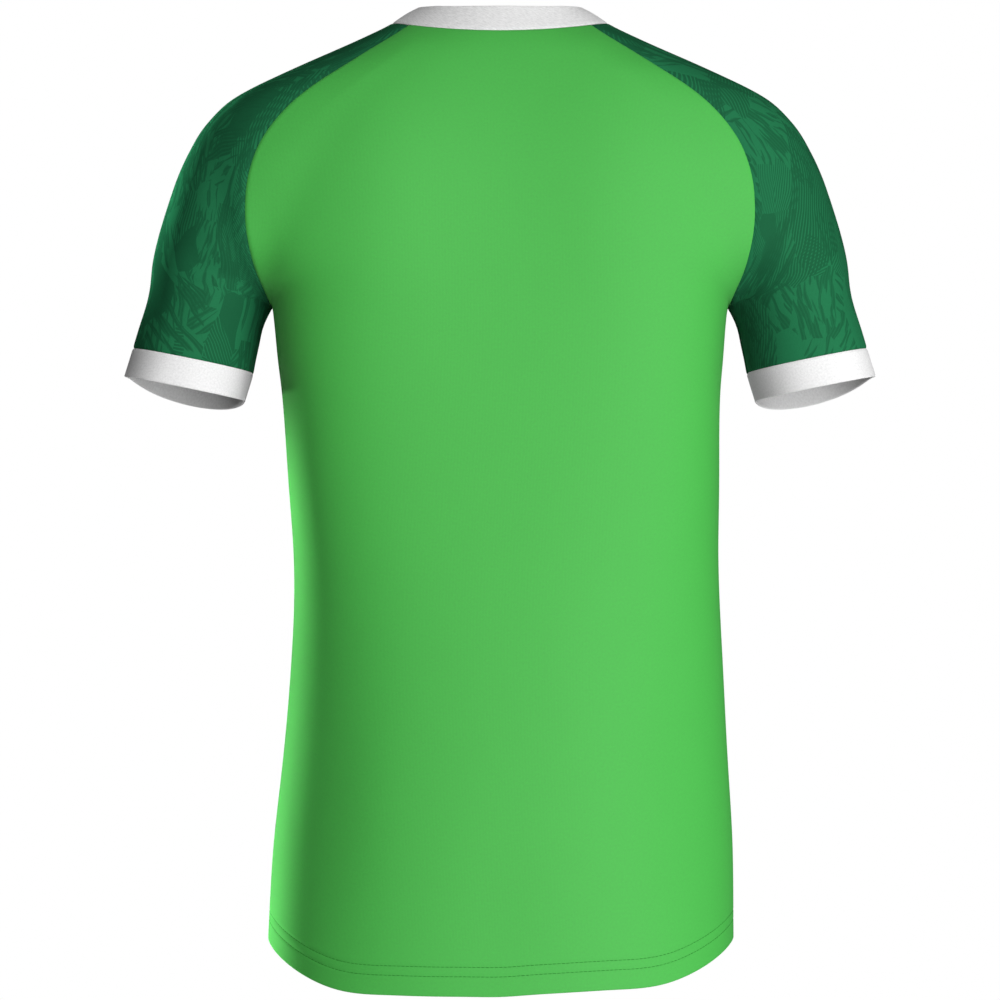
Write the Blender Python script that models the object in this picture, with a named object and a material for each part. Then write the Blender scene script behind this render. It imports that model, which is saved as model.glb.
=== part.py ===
"""A short-sleeved football jersey, filled out as on a general figure, with nobody in it.

Metres, +Z up. The front faces -Y and the wearer's left is +X. The origin lies midway between
the two side neck points, on the line where shoulders hold the garment up.

The cloth's outer surface is one smooth form: a torso whose level sections come from TORSO,
joined softly to two arms whose level sections come from ARM. Each piece is a grid of points on
that surface, bounded by its seams, and gets its thickness inwards.
"""

import bmesh
import bpy
import numpy as np

COLLECTION = "football_jersey"

CLOTH = 0.0012  # knit of the body and the sleeves
BAND = 0.0020  # collar and cuffs are two layers of a heavier rib
HEM_TURN = 0.021  # cloth turned up inside along the hem, a second layer
HEM_LEDGE = 0.0016  # height over which that layer's upper edge steps in
SEAM_GAP = 0.0003  # between the cut edges of two pieces

# Level sections of the torso. Depths are measured from the plane of the side seams, and
# squareness is 2 for an ellipse and more for a boxier section.
#   height, half width, back depth, front depth, squareness
TORSO = (
    (0.020, 0.066, 0.046, 0.040, 2.1),
    (0.000, 0.084, 0.058, 0.050, 2.1),
    (-0.015, 0.112, 0.072, 0.058, 2.3),
    (-0.034, 0.149, 0.082, 0.066, 2.7),
    (-0.060, 0.184, 0.092, 0.075, 3.2),
    (-0.095, 0.202, 0.102, 0.086, 3.5),
    (-0.150, 0.204, 0.110, 0.106, 3.7),
    (-0.188, 0.1955, 0.111, 0.114, 3.7),
    (-0.209, 0.183, 0.1105, 0.117, 3.7),
    (-0.222, 0.1748, 0.110, 0.118, 3.7),
    (-0.240, 0.1738, 0.1095, 0.119, 3.6),
    (-0.290, 0.1692, 0.109, 0.119, 3.4),
    (-0.355, 0.1670, 0.106, 0.116, 3.0),
    (-0.425, 0.1649, 0.1045, 0.115, 2.6),
    (-0.495, 0.1679, 0.108, 0.116, 2.3),
    (-0.565, 0.1727, 0.115, 0.118, 2.2),
    (-0.636, 0.1786, 0.121, 0.121, 2.2),
    (-0.709, 0.1808, 0.1255, 0.123, 2.4),
    (-0.760, 0.1816, 0.1275, 0.124, 2.5),
)

# Level sections of the left arm, the right one being its mirror image. Above the armpit the
# inner side is buried in the torso. Blend is how far the join between the two is softened in
# the plane of the side seams.
#   height, outer side, inner side, back depth, front depth, blend
ARM = (
    (0.020, 0.050, 0.000, 0.020, 0.020, 0.020),
    (0.000, 0.062, 0.000, 0.030, 0.030, 0.020),
    (-0.030, 0.1235, 0.040, 0.046, 0.044, 0.026),
    (-0.043, 0.1582, 0.060, 0.057, 0.055, 0.030),
    (-0.062, 0.2025, 0.085, 0.067, 0.065, 0.030),
    (-0.080, 0.2240, 0.100, 0.072, 0.070, 0.030),
    (-0.108, 0.2425, 0.120, 0.077, 0.075, 0.030),
    (-0.155, 0.2615, 0.155, 0.080, 0.079, 0.026),
    (-0.188, 0.2695, 0.175, 0.079, 0.079, 0.016),
    (-0.209, 0.2720, 0.1794, 0.076, 0.077, 0.012),
    (-0.222, 0.2750, 0.1816, 0.075, 0.076, 0.010),
    (-0.230, 0.2777, 0.184, 0.074, 0.075, 0.008),
    (-0.239, 0.2807, 0.1862, 0.072, 0.074, 0.006),
    (-0.253, 0.2850, 0.1895, 0.069, 0.071, 0.006),
    (-0.274, 0.2915, 0.1935, 0.066, 0.068, 0.006),
    (-0.300, 0.2985, 0.2005, 0.062, 0.065, 0.006),
)
ARM_SQUARENESS = 2.3
CORE = 0.060  # inside the torso at every height
ARM_CORE = 0.230  # inside the arm below the armpit
BLEND = 0.034  # softening of the join on the back and the front
BLEND_DEPTH = 0.050  # how far from the side seams' plane it is reached
BLEND_END = -0.222  # at the armpit's height there is none of it
BLEND_RISE = 0.050  # and so far above that there is all of it

# Distance of the raglan seams from the middle. Below the armpit it is the middle of the space
# between body and sleeve.
#   height, at the back, at the front
RAGLAN = (
    (0.020, 0.045, 0.045),
    (-0.005, 0.067, 0.064),
    (-0.035, 0.108, 0.086),
    (-0.068, 0.153, 0.125),
    (-0.100, 0.179, 0.156),
    (-0.122, 0.1875, 0.168),
    (-0.150, 0.191, 0.176),
    (-0.195, 0.1855, 0.180),
    (-0.222, 0.1775, 0.1775),
    (-0.258, 0.180, 0.180),
    (-0.300, 0.184, 0.184),
)

# The neck seam, round the neck from the side neck points at height 0.
NECK_HALF_WIDTH = 0.084
NECK_DROP_BACK = 0.0152
NECK_DROP_FRONT = 0.095
NECK_ROUND_BACK = 1.3
NECK_ROUND_FRONT = 1.7

# The collar leans in and rises from the neck seam.
#   in, up
COLLAR_SIDE = (0.0190, 0.0120)
COLLAR_BACK = (0.0090, 0.0178)
COLLAR_FRONT = (0.0100, 0.0165)

# The hem drops to a tail at the middle of the back and, less, of the front.
HEM_SIDE = -0.709
TAIL_BACK = 0.027
TAIL_FRONT = 0.014
TAIL_START = 0.075  # angles from the side seam, seen from above, between which the hem drops
TAIL_END = 0.82

# The sleeve's mouth lies in a plane that slopes down to the body, and its front edge hangs lower.
CUFF_OUTER = -0.253
CUFF_INNER = -0.2715
CUFF_FRONT_DROP = 0.0115
CUFF_ALONG = (0.0065, 0.0, -0.0210)  # from the cuff seam to the cuff's edge

# Grid sizes.
SEAM_ROWS = 20  # from the neck to the armpit
BODY_ROWS = 13  # from the armpit to the hem's turn
BODY_GRADING = 1.5  # and how much closer together they are at the armpit
HALF_COLUMNS = 12  # from a panel's middle to its side
SLEEVE_ROWS = 4  # from the armpit to the cuff seam
SLEEVE_COLUMNS = 24  # from the back seam round to the front seam

# The cloth's uneven hang: the waist lies a little to the wearer's right, and the tail's right
# half is a little higher than its left.
SWAY = 0.0055
SWAY_HEIGHT = -0.475
SWAY_ABOVE = 0.250  # from that height up to where it ends
SWAY_BELOW = 0.300  # and down
TAIL_LIFT = 0.0041
TAIL_LIFT_START = -0.600
TAIL_LIFT_REACH = 0.110

BACK, FRONT = 1, -1
LEFT, RIGHT = 1, -1


def smooth_table(table):
    """A function that gives a table's later columns, smoothly, at any value of its first one."""
    rows = np.array(sorted(table))
    key, values = rows[:, 0], rows[:, 1:]
    slopes = np.gradient(values, key, axis=0)

    def at(value):
        value = np.clip(value, key[0], key[-1])
        low = np.clip(np.searchsorted(key, value) - 1, 0, len(key) - 2)
        step = (key[low + 1] - key[low])[..., None]
        t = (value - key[low])[..., None] / step
        start = (1 + 2 * t) * (1 - t) ** 2 * values[low] + t * (1 - t) ** 2 * step * slopes[low]
        end = t**2 * (3 - 2 * t) * values[low + 1] + t**2 * (t - 1) * step * slopes[low + 1]
        return np.moveaxis(start + end, -1, 0)

    return at


torso_at = smooth_table(TORSO)
arm_at = smooth_table(ARM)
raglan_at = smooth_table(RAGLAN)


def eased(share):
    """0 to 1 with a soft start and end."""
    share = np.clip(share, 0, 1)
    return share**2 * (3 - 2 * share)


def section(across, deep, half_width, back, front, squareness):
    """About how far a point lies outside a level section, and negative within it."""
    depth = np.where(deep > 0, back, front)
    share = np.abs(across / half_width) ** squareness + np.abs(deep / depth) ** squareness
    return (share ** (1 / squareness) - 1) * np.minimum(half_width, depth)


def outside(points):
    """About how far points lie outside the garment's outer surface."""
    x, y, z = np.abs(points[..., 0]), points[..., 1], points[..., 2]
    half_width, back, front, squareness = torso_at(z)
    torso = section(x, y, half_width, back, front, squareness)
    outer, inner, back, front, blend = arm_at(z)
    arm = section(x - (outer + inner) / 2, y, (outer - inner) / 2, back, front, ARM_SQUARENESS)
    blend = blend + (BLEND - blend) * eased(np.abs(y) / BLEND_DEPTH) * eased((z - BLEND_END) / BLEND_RISE)
    softness = np.clip(1 - np.abs(torso - arm) / blend, 0, 1)
    return np.minimum(torso, arm) - softness**2 * blend / 4


def crossing(value, low, high):
    """Where value, a function of an array, turns from negative to positive."""
    for _ in range(40):
        middle = (low + high) / 2
        within = value(middle) < 0
        low = np.where(within, middle, low)
        high = np.where(within, high, middle)
    return (low + high) / 2


def surface_points(starts, ways, far):
    """Where rays from inside the garment meet its outer surface."""
    length = crossing(lambda r: outside(starts + r[:, None] * ways), np.zeros(len(ways)), far)
    return starts + length[:, None] * ways


def outward(points):
    """Unit normals of the outer surface."""
    step = 0.0005
    slope = [outside(points + step * axis) - outside(points - step * axis) for axis in np.eye(3)]
    normal = np.stack(slope, axis=-1)
    return normal / np.linalg.norm(normal, axis=-1, keepdims=True)


def hung(points):
    """Points moved with the cloth's uneven hang."""
    x, y, z = np.moveaxis(points, -1, 0)
    reach = np.where(z > SWAY_HEIGHT, SWAY_ABOVE, SWAY_BELOW)
    sway = SWAY * eased(1 - np.abs(z - SWAY_HEIGHT) / reach)
    corner = np.clip(np.sin(2 * np.arctan2(y, -x)), 0, 1) * (y > 0)
    lift = TAIL_LIFT * corner * eased((TAIL_LIFT_START - z) / TAIL_LIFT_REACH)
    return np.stack([x - sway, y, z + lift], axis=-1)


def seam_distance(z, face):
    return raglan_at(z)[0 if face == BACK else 1]


def level_points(angles, heights, face):
    """Points on the body, by angle from the side seam, seen from above."""
    starts = np.stack([0 * heights, 0 * heights, heights], axis=1)
    ways = np.stack([np.cos(angles), face * np.sin(angles), 0 * angles], axis=1)
    far = seam_distance(heights, face) / np.maximum(np.cos(angles), 0.2)
    return surface_points(starts, ways, far)


def neck_height(angles, face):
    drop, roundness = (
        (NECK_DROP_BACK, NECK_ROUND_BACK) if face == BACK else (NECK_DROP_FRONT, NECK_ROUND_FRONT)
    )
    return -drop * np.sin(angles) ** roundness


def neck_points(angles, face):
    """Points of the neck seam, an oval seen from the front, from a side neck point at angle 0."""
    across = NECK_HALF_WIDTH * np.cos(angles)
    starts = np.stack([across, 0 * angles, neck_height(angles, face)], axis=1)
    ways = np.tile([0.0, float(face), 0.0], (len(angles), 1))
    return surface_points(starts, ways, np.full(len(angles), 0.2))


def even_steps(curve, start, end, count):
    """The parameters that cut a curve between start and end into equal lengths."""
    parameter = np.linspace(start, end, 121)
    legs = np.linalg.norm(np.diff(curve(parameter), axis=0), axis=1)
    length = np.concatenate([[0], np.cumsum(legs)])
    return np.interp(np.linspace(0, length[-1], count + 1), length, parameter)


def neck_seam_end(face):
    """The angle at which the neck seam meets the raglan seam."""

    def beyond(angle):
        points = neck_points(angle, face)
        return seam_distance(points[:, 2], face) - points[:, 0]

    return crossing(beyond, np.array([0.05]), np.array([1.5]))[0]


def armpit():
    """The lowest point of the join between body and sleeve, where all four pieces meet."""

    def below(depth):
        points = np.stack([seam_distance(-depth, BACK), 0 * depth, -depth], axis=1)
        return outside(points)

    depth = crossing(below, np.array([0.18]), np.array([0.26]))[0]
    return np.array([seam_distance(np.array([-depth]), BACK)[0], 0, -depth])


ARMPIT = armpit()
NECK_END = {face: neck_seam_end(face) for face in (BACK, FRONT)}
FLOW = np.linspace(0, 1, SEAM_ROWS + 1)


def seam_heights(face):
    """Heights along a raglan seam, closer together towards the armpit, where it turns in."""
    top = neck_points(np.array([NECK_END[face]]), face)[0, 2]
    return top + (ARMPIT[2] - top) * np.sin(FLOW * np.pi / 2) ** 1.25


def raglan_seam(face):
    """Points down the left raglan seam, from the neck to the armpit."""
    heights = seam_heights(face)
    starts = np.stack([seam_distance(heights, face), 0 * heights, heights], axis=1)
    ways = np.tile([0.0, float(face), 0.0], (len(heights), 1))
    points = surface_points(starts, ways, np.full(len(heights), 0.2))
    points[0] = neck_points(np.array([NECK_END[face]]), face)[0]
    points[-1] = ARMPIT
    return points


def hem_height(angles, face):
    share = eased((angles - TAIL_START) / (TAIL_END - TAIL_START))
    return HEM_SIDE - (TAIL_BACK if face == BACK else TAIL_FRONT) * share


def upper_row(face, seam_point, middle_height, end_height):
    """Half a row of a panel, from its middle to a point on the raglan seam."""
    last = np.arctan2(abs(seam_point[1]), seam_point[0])
    neck_top = neck_height(np.array([np.pi / 2]), face)[0]
    neck_low = neck_height(np.array([NECK_END[face]]), face)[0]

    def heights(angles):
        share = (np.pi / 2 - angles) / (np.pi / 2 - last)
        neck_angle = np.pi / 2 - share * (np.pi / 2 - NECK_END[face])
        bend = (neck_height(neck_angle, face) - neck_top) / (neck_low - neck_top)
        return middle_height + (end_height - middle_height) * bend

    def curve(angles):
        return level_points(angles, heights(angles), face)

    row = curve(even_steps(curve, np.pi / 2, last, HALF_COLUMNS))
    row[-1] = seam_point
    return row


def lower_row(face, share, rise):
    """Half a row of a panel between the armpit's level and the hem, from middle to side seam."""

    def curve(angles):
        end = hem_height(angles, face) + rise
        return level_points(angles, ARMPIT[2] + share * (end - ARMPIT[2]), face)

    return curve(even_steps(curve, np.pi / 2, 0, HALF_COLUMNS))


def panel_grid(face):
    """The rows of the back or front panel from neck to hem, and the thickness at each row."""
    seam = raglan_seam(face)
    middle = neck_points(np.array([np.pi / 2]), face)[0, 2]
    halves = []
    angles = even_steps(lambda a: neck_points(a, face), np.pi / 2, NECK_END[face], HALF_COLUMNS)
    halves.append(neck_points(angles, face))
    for flow, point in zip(FLOW[1:], seam[1:]):
        middle_height = middle + (ARMPIT[2] - middle) * flow
        halves.append(upper_row(face, point, middle_height, point[2]))
    for step in range(1, BODY_ROWS + 1):
        halves.append(lower_row(face, (step / BODY_ROWS) ** BODY_GRADING, HEM_TURN))
    thickness = [CLOTH] * len(halves)
    for rise in (HEM_TURN - HEM_LEDGE, 0):
        halves.append(lower_row(face, 1, rise))
        thickness.append(2 * CLOTH)
    rows = []
    for half in halves:
        other = half[:0:-1] * (-1, 1, 1)
        rows.append(np.concatenate([other, half]))
    return np.array(rows), np.array(thickness)


def sleeve_rows():
    """Rows of the left sleeve from neck to cuff seam, each running from back to front."""
    back, front = raglan_seam(BACK), raglan_seam(FRONT)
    crest_end = ARMPIT[2] + 0.016
    rows = [neck_strip()]
    for flow, start, end in zip(FLOW[1:], back[1:], front[1:]):
        crest = crest_point(crest_end * flow**1.5)
        rows.append(arch(start, end, crest, 0.0))
    for step in range(1, SLEEVE_ROWS + 1):
        share = step / SLEEVE_ROWS
        inner_height = ARMPIT[2] + (CUFF_INNER - ARMPIT[2]) * share
        crest = crest_point(crest_end + (CUFF_OUTER - crest_end) * share)
        inner = inner_point(inner_height)
        rows.append(arch(inner, inner, crest, CUFF_FRONT_DROP * share))
    return np.array(rows)


def neck_strip():
    """The sleeve's own stretch of the neck seam, from the back round to the front."""

    def curve(turn):
        behind = neck_points(np.maximum(turn, 0), BACK)
        before = neck_points(np.maximum(-turn, 0), FRONT)
        return np.where((turn > 0)[:, None], behind, before)

    return curve(even_steps(curve, NECK_END[BACK], -NECK_END[FRONT], SLEEVE_COLUMNS))


def crest_point(height):
    """The outermost point of the shoulder or sleeve at a height."""
    start = np.array([[CORE if height > ARMPIT[2] else ARM_CORE, 0, height]])
    return surface_points(start, np.array([[1.0, 0, 0]]), np.array([0.3]))[0]


def inner_point(height):
    """The underarm seam's point on the sleeve, below the armpit."""
    start = np.array([[ARM_CORE, 0, height]])
    far = start[0, 0] - seam_distance(np.array([height]), BACK)
    return surface_points(start, np.array([[-1.0, 0, 0]]), far)[0]


def arch(start, end, crest, front_drop):
    """A sleeve row through three points: back seam, crest and front seam. At the same start and
    end point it is a closed ring."""
    chord = (start + end) / 2
    hub = (chord + crest) / 2
    out = (crest - chord) / np.linalg.norm(crest - chord)
    span = start - end
    deep = span / np.linalg.norm(span) if np.linalg.norm(span) > 1e-6 else np.array([0, 1.0, 0])
    deep = deep - out * (deep @ out)
    deep /= np.linalg.norm(deep)
    first = np.arctan2((start - hub) @ deep, (start - hub) @ out)
    last = np.arctan2((end - hub) @ deep, (end - hub) @ out)
    if last >= first:
        first, last = np.pi, -np.pi

    def curve(angles):
        ways = np.cos(angles)[:, None] * out + np.sin(angles)[:, None] * deep
        room = hub[0] - min(seam_distance(hub[2:], BACK)[0], start[0], end[0])
        inward = np.maximum(-ways[:, 0], 1e-3)
        far = np.where(ways[:, 0] < 0, np.minimum(room / inward * 1.1, 0.2), 0.2)
        return surface_points(np.tile(hub, (len(angles), 1)), ways, far)

    row = curve(even_steps(curve, first, last, SLEEVE_COLUMNS))
    row[0], row[-1] = start, end
    turn = np.linspace(0, 2 * np.pi, SLEEVE_COLUMNS + 1)
    row[:, 2] -= front_drop * np.maximum(-np.sin(turn), 0) ** 2
    return row


def pull_back(edge, beside):
    """An edge moved square to itself, towards the row beside it, by half the seam gap."""
    along = np.gradient(edge, axis=0)
    along /= np.maximum(np.linalg.norm(along, axis=1, keepdims=True), 1e-9)
    way = beside - edge
    way = way - along * (way * along).sum(axis=1, keepdims=True)
    way /= np.maximum(np.linalg.norm(way, axis=1, keepdims=True), 1e-9)
    return edge + way * SEAM_GAP / 2


def wall(name, outer, inner, closed, material, collection):
    """A closed wall between an outer and an inner grid of the same shape."""
    rows, columns = outer.shape[:2]
    bm = bmesh.new()
    outside_verts = [[bm.verts.new(p) for p in row] for row in outer]
    inside_verts = [[bm.verts.new(p) for p in row] for row in inner]
    steps = [(c, (c + 1) % columns) for c in range(columns if closed else columns - 1)]
    for verts in (outside_verts, inside_verts):
        for r in range(rows - 1):
            for c, d in steps:
                bm.faces.new((verts[r][c], verts[r][d], verts[r + 1][d], verts[r + 1][c]))
    for r in (0, rows - 1):
        for c, d in steps:
            bm.faces.new((outside_verts[r][c], outside_verts[r][d], inside_verts[r][d], inside_verts[r][c]))
    if not closed:
        for c in (0, columns - 1):
            for r in range(rows - 1):
                bm.faces.new(
                    (outside_verts[r][c], outside_verts[r + 1][c], inside_verts[r + 1][c], inside_verts[r][c])
                )
    bmesh.ops.recalc_face_normals(bm, faces=bm.faces)
    bmesh.ops.triangulate(bm, faces=bm.faces, quad_method="SHORT_EDGE")
    mesh = bpy.data.meshes.new(name)
    bm.to_mesh(mesh)
    bm.free()
    mesh.shade_smooth()
    mesh.set_sharp_from_angle(angle=np.radians(50))
    mesh.materials.append(material)
    piece = bpy.data.objects.new(name, mesh)
    collection.objects.link(piece)
    return piece


def cloth_material(name, color, roughness):
    material = bpy.data.materials.new(name)
    material.use_nodes = True
    shader = material.node_tree.nodes["Principled BSDF"]
    shader.inputs["Base Color"].default_value = (*color, 1)
    shader.inputs["Roughness"].default_value = roughness
    shader.inputs["Metallic"].default_value = 0
    return material


def make_panel(name, face, material, collection):
    grid, thickness = panel_grid(face)
    normals = outward(grid)
    grid[0] = pull_back(grid[0], grid[1])
    grid[:, 0] = pull_back(grid[:, 0], grid[:, 1])
    grid[:, -1] = pull_back(grid[:, -1], grid[:, -2])
    inner = grid - normals * thickness[:, None, None]
    return wall(name, hung(grid), hung(inner), False, material, collection)


def mirrored(points, side):
    return points * (side, 1, 1)


def make_sleeve(name, side, rows, material, collection):
    grid = rows.copy()
    normals = outward(grid)
    for edge, beside in ((0, 1), (-1, -2)):
        grid[edge] = pull_back(rows[edge], rows[beside])
    for edge, beside in ((0, 1), (-1, -2)):
        grid[:, edge] = pull_back(grid[:, edge], grid[:, beside])
    inner = grid - normals * CLOTH
    return wall(name, mirrored(grid, side), mirrored(inner, side), False, material, collection)


def make_cuff(name, side, seam_row, material, collection):
    ring = seam_row[:-1]
    normals = outward(ring)
    along = np.array(CUFF_ALONG)
    grid = np.array([ring, ring + along / 2, ring + along])
    normals = np.array([normals] * 3)
    grid[0] = grid[0] + along / np.linalg.norm(along) * SEAM_GAP / 2
    inner = grid - normals * BAND
    return wall(name, mirrored(grid, side), mirrored(inner, side), True, material, collection)


def collar_rise(angles, face):
    """How far the collar's upper edge lies in and up from the neck seam."""
    middle = np.array(COLLAR_BACK if face == BACK else COLLAR_FRONT)
    side = np.array(COLLAR_SIDE)
    return side + (middle - side) * np.sin(angles)[:, None] ** 2


def collar_ring(back_row, sleeve_row, front_row):
    """Neck seam points all round, shared with the pieces that the collar is sewn to."""
    half = len(back_row) // 2
    left = [back_row[half:], sleeve_row[1:-1], front_row[half:][::-1]]
    left = np.concatenate(left)
    right = left[-2:0:-1] * (-1, 1, 1)
    return np.concatenate([left, right])


def make_collar(name, ring, material, collection):
    face = np.where(ring[:, 1] > 0, BACK, FRONT)
    angles = np.arctan2(np.abs(ring[:, 1]), np.abs(ring[:, 0]))
    rise = np.where((face == BACK)[:, None], collar_rise(angles, BACK), collar_rise(angles, FRONT))
    inward = -ring * (1, 1, 0)
    inward /= np.linalg.norm(inward, axis=1, keepdims=True)
    top = ring + inward * rise[:, :1] + np.array([0, 0, 1]) * rise[:, 1:]
    along = top - ring
    round_way = np.roll(ring, -1, axis=0) - np.roll(ring, 1, axis=0)
    lean = np.cross(along, round_way)
    lean /= np.linalg.norm(lean, axis=1, keepdims=True)
    lean *= np.sign((lean * -inward).sum(axis=1, keepdims=True))
    length = np.linalg.norm(along, axis=1, keepdims=True)
    grid = np.array([ring + along / length * SEAM_GAP / 2, ring + along / 2, top])
    normals = np.array([outward(ring), lean, lean])
    return wall(name, grid, grid - normals * BAND, True, material, collection)


def clear_scene():
    for found in list(bpy.data.objects):
        bpy.data.objects.remove(found, do_unlink=True)


def main():
    clear_scene()
    collection = bpy.data.collections.new(COLLECTION)
    bpy.context.scene.collection.children.link(collection)
    green = cloth_material("body_knit", (0.09, 0.52, 0.10), 0.75)
    dark = cloth_material("sleeve_knit", (0.015, 0.18, 0.08), 0.75)
    white = cloth_material("cuff_rib", (0.86, 0.87, 0.87), 0.8)
    pale = cloth_material("collar_rib", (0.68, 0.69, 0.70), 0.8)

    make_panel("back_panel", BACK, green, collection)
    make_panel("front_panel", FRONT, green, collection)
    rows = sleeve_rows()
    for label, side in (("left", LEFT), ("right", RIGHT)):
        make_sleeve(f"sleeve_{label}", side, rows, dark, collection)
        make_cuff(f"cuff_{label}", side, rows[-1], white, collection)
    ring = collar_ring(panel_grid(BACK)[0][0], rows[0], panel_grid(FRONT)[0][0])
    make_collar("collar", ring, pale, collection)


main()
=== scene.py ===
import math

import bmesh
import bpy
import numpy as np
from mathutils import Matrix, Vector
from mathutils.kdtree import KDTree


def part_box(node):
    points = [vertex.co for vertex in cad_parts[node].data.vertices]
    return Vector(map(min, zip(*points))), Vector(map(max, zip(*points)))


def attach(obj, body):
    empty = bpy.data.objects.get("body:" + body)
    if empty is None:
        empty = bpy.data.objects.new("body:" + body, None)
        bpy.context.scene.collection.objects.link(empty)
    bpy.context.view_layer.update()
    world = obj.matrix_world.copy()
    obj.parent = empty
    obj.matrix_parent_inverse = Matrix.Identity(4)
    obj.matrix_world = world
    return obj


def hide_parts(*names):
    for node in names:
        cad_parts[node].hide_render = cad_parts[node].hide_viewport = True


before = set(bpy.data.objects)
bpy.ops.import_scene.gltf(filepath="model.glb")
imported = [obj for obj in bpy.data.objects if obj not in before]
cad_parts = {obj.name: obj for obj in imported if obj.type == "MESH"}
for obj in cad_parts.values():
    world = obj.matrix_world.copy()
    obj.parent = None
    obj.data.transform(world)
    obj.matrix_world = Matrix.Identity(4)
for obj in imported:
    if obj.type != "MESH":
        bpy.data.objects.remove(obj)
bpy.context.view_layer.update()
bpy.ops.object.select_all(action="DESELECT")
print("frame loaded")

millimetre = 0.001
reading = {"sameSpot": 0.001, "sharpest": 42, "seamWidth": 0.6}  # of the solids' walls: mm, degrees, mm


def meshRegions(bm, sharpest):  # groups of faces with no edge between them as sharp as that
    left = set(bm.faces)
    regions = []
    while left:
        waiting = [left.pop()]
        region = set(waiting)
        while waiting:
            for edge in waiting.pop().edges:
                if len(edge.link_faces) == 2 and edge.calc_face_angle() < sharpest:
                    fresh = [face for face in edge.link_faces if face in left]
                    left.difference_update(fresh)
                    region.update(fresh)
                    waiting.extend(fresh)
        regions.append(region)
    return regions


def outerSkin(name):  # the outer side of a solid's cloth wall
    bm = bmesh.new()
    bm.from_mesh(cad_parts[name].data)
    bmesh.ops.remove_doubles(bm, verts=bm.verts, dist=reading["sameSpot"] * millimetre)
    low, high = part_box(name)
    middle = (low + high) / 2

    def facesOut(region):
        return sum(face.calc_area() * face.normal.dot(face.calc_center_median() - middle) for face in region)

    regions = meshRegions(bm, math.radians(reading["sharpest"]))
    twoSides = sorted(regions, key=lambda region: sum(face.calc_area() for face in region))[-2:]
    keep = max(twoSides, key=facesOut)
    bmesh.ops.delete(bm, geom=[face for face in bm.faces if face not in keep], context="FACES")
    return bm


def walk(start, allowed, onRim=False):  # vertices in order along a line, from its end or round a loop
    line = [start]
    left = set(allowed) - {start}
    while True:
        near = [edge.other_vert(line[-1]) for edge in line[-1].link_edges if edge.is_boundary or not onRim]
        near = [vert for vert in near if vert in left]
        if not near:
            return line
        line.append(min(near, key=lambda vert: (vert.co - line[-1].co).length))
        left.discard(line[-1])


def rowsFrom(bm, firstRow, ring):  # the rows of vertices that the wall was lofted through
    rows = [firstRow]
    seen = set(firstRow)
    while True:
        fresh = {edge.other_vert(vert) for vert in rows[-1] for edge in vert.link_edges} - seen
        if not fresh:
            break
        start = min(fresh, key=lambda vert: (vert.co - rows[-1][0].co).length)
        if not ring:
            ends = [vert for vert in fresh if vert.is_boundary]
            start = min(ends, key=lambda vert: (vert.co - rows[-1][0].co).length)
        line = walk(start, fresh)
        if ring and (line[1].co - rows[-1][1].co).length > (line[-1].co - rows[-1][1].co).length:
            line = [line[0]] + line[:0:-1]
        rows.append(line)
        seen |= fresh
    grid = np.array([[vert.co for vert in row] for row in rows])
    bm.free()
    return np.concatenate([grid, grid[:, :1]], axis=1) if ring else grid


def pieceGrid(name, seamWith, startsAt):  # a sewn piece, its first row on the seam with another
    bm = outerSkin(name)
    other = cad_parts[seamWith].data.vertices
    near = KDTree(len(other))
    for index, vert in enumerate(other):
        near.insert(vert.co, index)
    near.balance()
    reach = reading["seamWidth"] * millimetre
    seam = [vert for vert in bm.verts if vert.is_boundary and near.find(vert.co)[2] < reach]
    return rowsFrom(bm, walk(min(seam, key=startsAt), seam), False)


def bandGrid(name, upwards):  # a closed band, from its sewn edge to its free edge
    bm = outerSkin(name)
    rim = {vert for vert in bm.verts if vert.is_boundary}
    first = walk(min(rim, key=lambda vert: vert.co.z), rim, onRim=True)
    rest = rim - set(first)
    second = walk(min(rest, key=lambda vert: vert.co.z), rest, onRim=True)
    loops = sorted([first, second], key=lambda loop: sum(vert.co.z for vert in loop))
    return rowsFrom(bm, loops[0] if upwards else loops[1], True)


def splineThrough(points, knots, stations, closed, overlap=6):  # natural or closed cubic spline
    if closed:
        wrap = min(overlap, len(points) - 2)  # points repeated past the join
        span = knots[-1] - knots[0]
        points = np.concatenate([points[-1 - wrap:-1], points, points[1:1 + wrap]])
        knots = np.concatenate([knots[-1 - wrap:-1] - span, knots, knots[1:1 + wrap] + span])
    count = len(knots)
    gaps = np.diff(knots)
    slopes = np.diff(points, axis=0) / gaps[:, None]
    matrix = np.eye(count)
    right = np.zeros_like(points)
    for i in range(1, count - 1):
        matrix[i, i - 1:i + 2] = gaps[i - 1], 2 * (gaps[i - 1] + gaps[i]), gaps[i]
        right[i] = 6 * (slopes[i] - slopes[i - 1])
    bends = np.linalg.solve(matrix, right)
    i = np.clip(np.searchsorted(knots, stations) - 1, 0, count - 2)
    gap = gaps[i][:, None]
    after = (stations - knots[i])[:, None]
    before = gap - after
    return (
        (bends[i] * before**3 + bends[i + 1] * after**3) / (6 * gap)
        + (points[i] / gap - bends[i] * gap / 6) * before
        + (points[i + 1] / gap - bends[i + 1] * gap / 6) * after
    )


def lengthsAlong(line):
    legs = np.linalg.norm(np.diff(line, axis=0), axis=1)
    return np.concatenate([[0], np.cumsum(legs)])


def gradedStations(total, fromStart, fromEnd, count):  # close together where the list says so
    first = [d for d in fromStart if d < total / 2]
    last = [total - d for d in reversed(fromEnd) if d < total / 2]
    middle = np.linspace(first[-1] if first else 0, last[0] if last else total, count)
    return np.concatenate([first[:-1], middle, last[1:]])


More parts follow.
